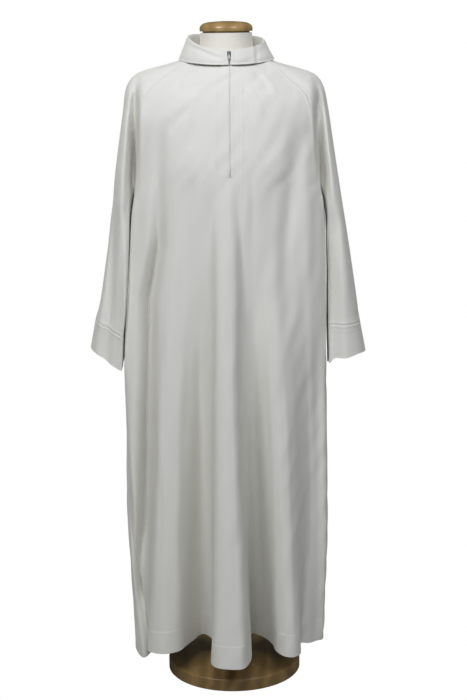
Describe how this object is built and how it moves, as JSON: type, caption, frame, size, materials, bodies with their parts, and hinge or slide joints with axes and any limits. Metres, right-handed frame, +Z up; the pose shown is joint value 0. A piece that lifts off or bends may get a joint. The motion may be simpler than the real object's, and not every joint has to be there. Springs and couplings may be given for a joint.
{
  "type": "alb on limbless dress form",
  "caption": "Full-length white alb with raglan sleeves, fold-over collar and short front zip, hanging in deep folds on a limbless dress form with a round wooden base.",
  "frame": {"origin": "centre of the base's underside", "axes": "+Z up along the form's pole, the garment's front and its zip face -Y, +X towards the wearer's left sleeve"},
  "size_m": [0.6461, 0.4265, 1.548],
  "materials": {
    "alb_cloth": "smooth off-white woven polyester with a soft sheen",
    "zip_tape": "off-white woven zip tape",
    "zip_coil": "off-white moulded nylon coil",
    "zip_metal": "bright nickel plate",
    "form_cover": "off-white stretch jersey over a padded shell",
    "form_cap_wood": "varnished light oak",
    "form_wood": "varnished dark oak with fine grain"
  },
  "bodies": {
    "alb_on_form": {"front": "alb_cloth", "back": "alb_cloth", "sleeve_right": "alb_cloth", "sleeve_left": "alb_cloth", "cuff_right": "alb_cloth", "cuff_left": "alb_cloth", "collar": "alb_cloth", "hem_front": "alb_cloth", "hem_back": "alb_cloth", "zip_tape": "zip_tape", "zip_coil": "zip_coil", "zip_slider": "zip_metal", "form_torso": "form_cover", "form_cap": "form_cap_wood", "form_pole": "form_wood", "form_base": "form_wood"},
    "pull_tab": {"zip_pull": "zip_metal"}
  },
  "joints": [
    {"name": "pull_tab_hinge", "type": "hinge", "parent": "alb_on_form", "child": "pull_tab", "pos_m": [0.006, -0.08409, 1.47832], "axis": [-1, 0, 0], "range_deg": [0, 150]}
  ]
}
